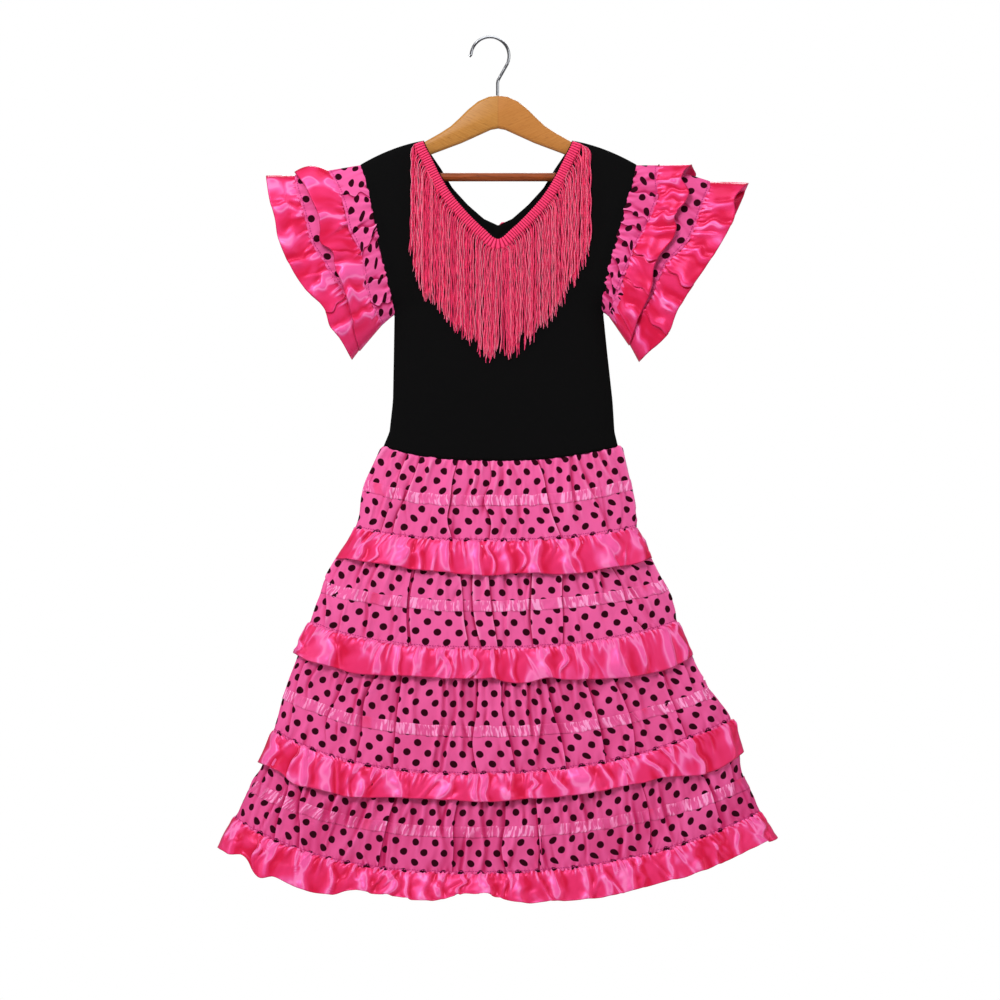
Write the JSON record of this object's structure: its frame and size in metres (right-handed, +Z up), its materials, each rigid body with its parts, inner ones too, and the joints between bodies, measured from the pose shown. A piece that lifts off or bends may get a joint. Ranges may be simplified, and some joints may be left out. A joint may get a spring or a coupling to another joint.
{
  "type": "flamenco dress on a hanger",
  "caption": "Child's flamenco dress with black bodice, fringed V neck, ruffled sleeves and tiered dotted skirt, hanging from a wooden hanger.",
  "frame": {"origin": "where the inside of the hanger's hook rests on a rail", "axes": "+Z up, +X to the right as seen from the front, +Y towards the dress's back"},
  "size_m": [0.6146, 0.1371, 0.9512],
  "materials": {
    "chromed_wire": "polished wire",
    "varnished_wood": "clear varnish",
    "varnished_bar": "clear varnish",
    "black_knit": "matte stretch knit",
    "dotted_cloth": "plain weave with dark dots",
    "satin": "glossy satin",
    "satin_ribbon": "glossy satin",
    "rayon_fringe": "soft sheen"
  },
  "bodies": {
    "root": {"hanger_hook": "chromed_wire", "hanger_board": "varnished_wood", "hanger_bar": "varnished_bar", "bodice_front": "black_knit", "bodice_back": "black_knit", "fringe_front": "rayon_fringe", "neck_braid_back": "rayon_fringe", "sleeve_left_upper": "dotted_cloth", "sleeve_left_lower": "dotted_cloth", "sleeve_left_upper_ruffle": "satin", "sleeve_left_lower_ruffle": "satin", "sleeve_right_upper": "dotted_cloth", "sleeve_right_lower": "dotted_cloth", "sleeve_right_upper_ruffle": "satin", "sleeve_right_lower_ruffle": "satin", "skirt_tier_1": "dotted_cloth", "skirt_ruffle_1": "satin", "skirt_ribbon_1": "satin_ribbon", "skirt_tier_2": "dotted_cloth", "skirt_ruffle_2": "satin", "skirt_ribbon_2": "satin_ribbon", "skirt_tier_3": "dotted_cloth", "skirt_ruffle_3": "satin", "skirt_ribbon_3": "satin_ribbon", "skirt_tier_4": "dotted_cloth", "skirt_ruffle_4": "satin", "skirt_ribbon_4": "satin_ribbon"}
  },
  "joints": []
}
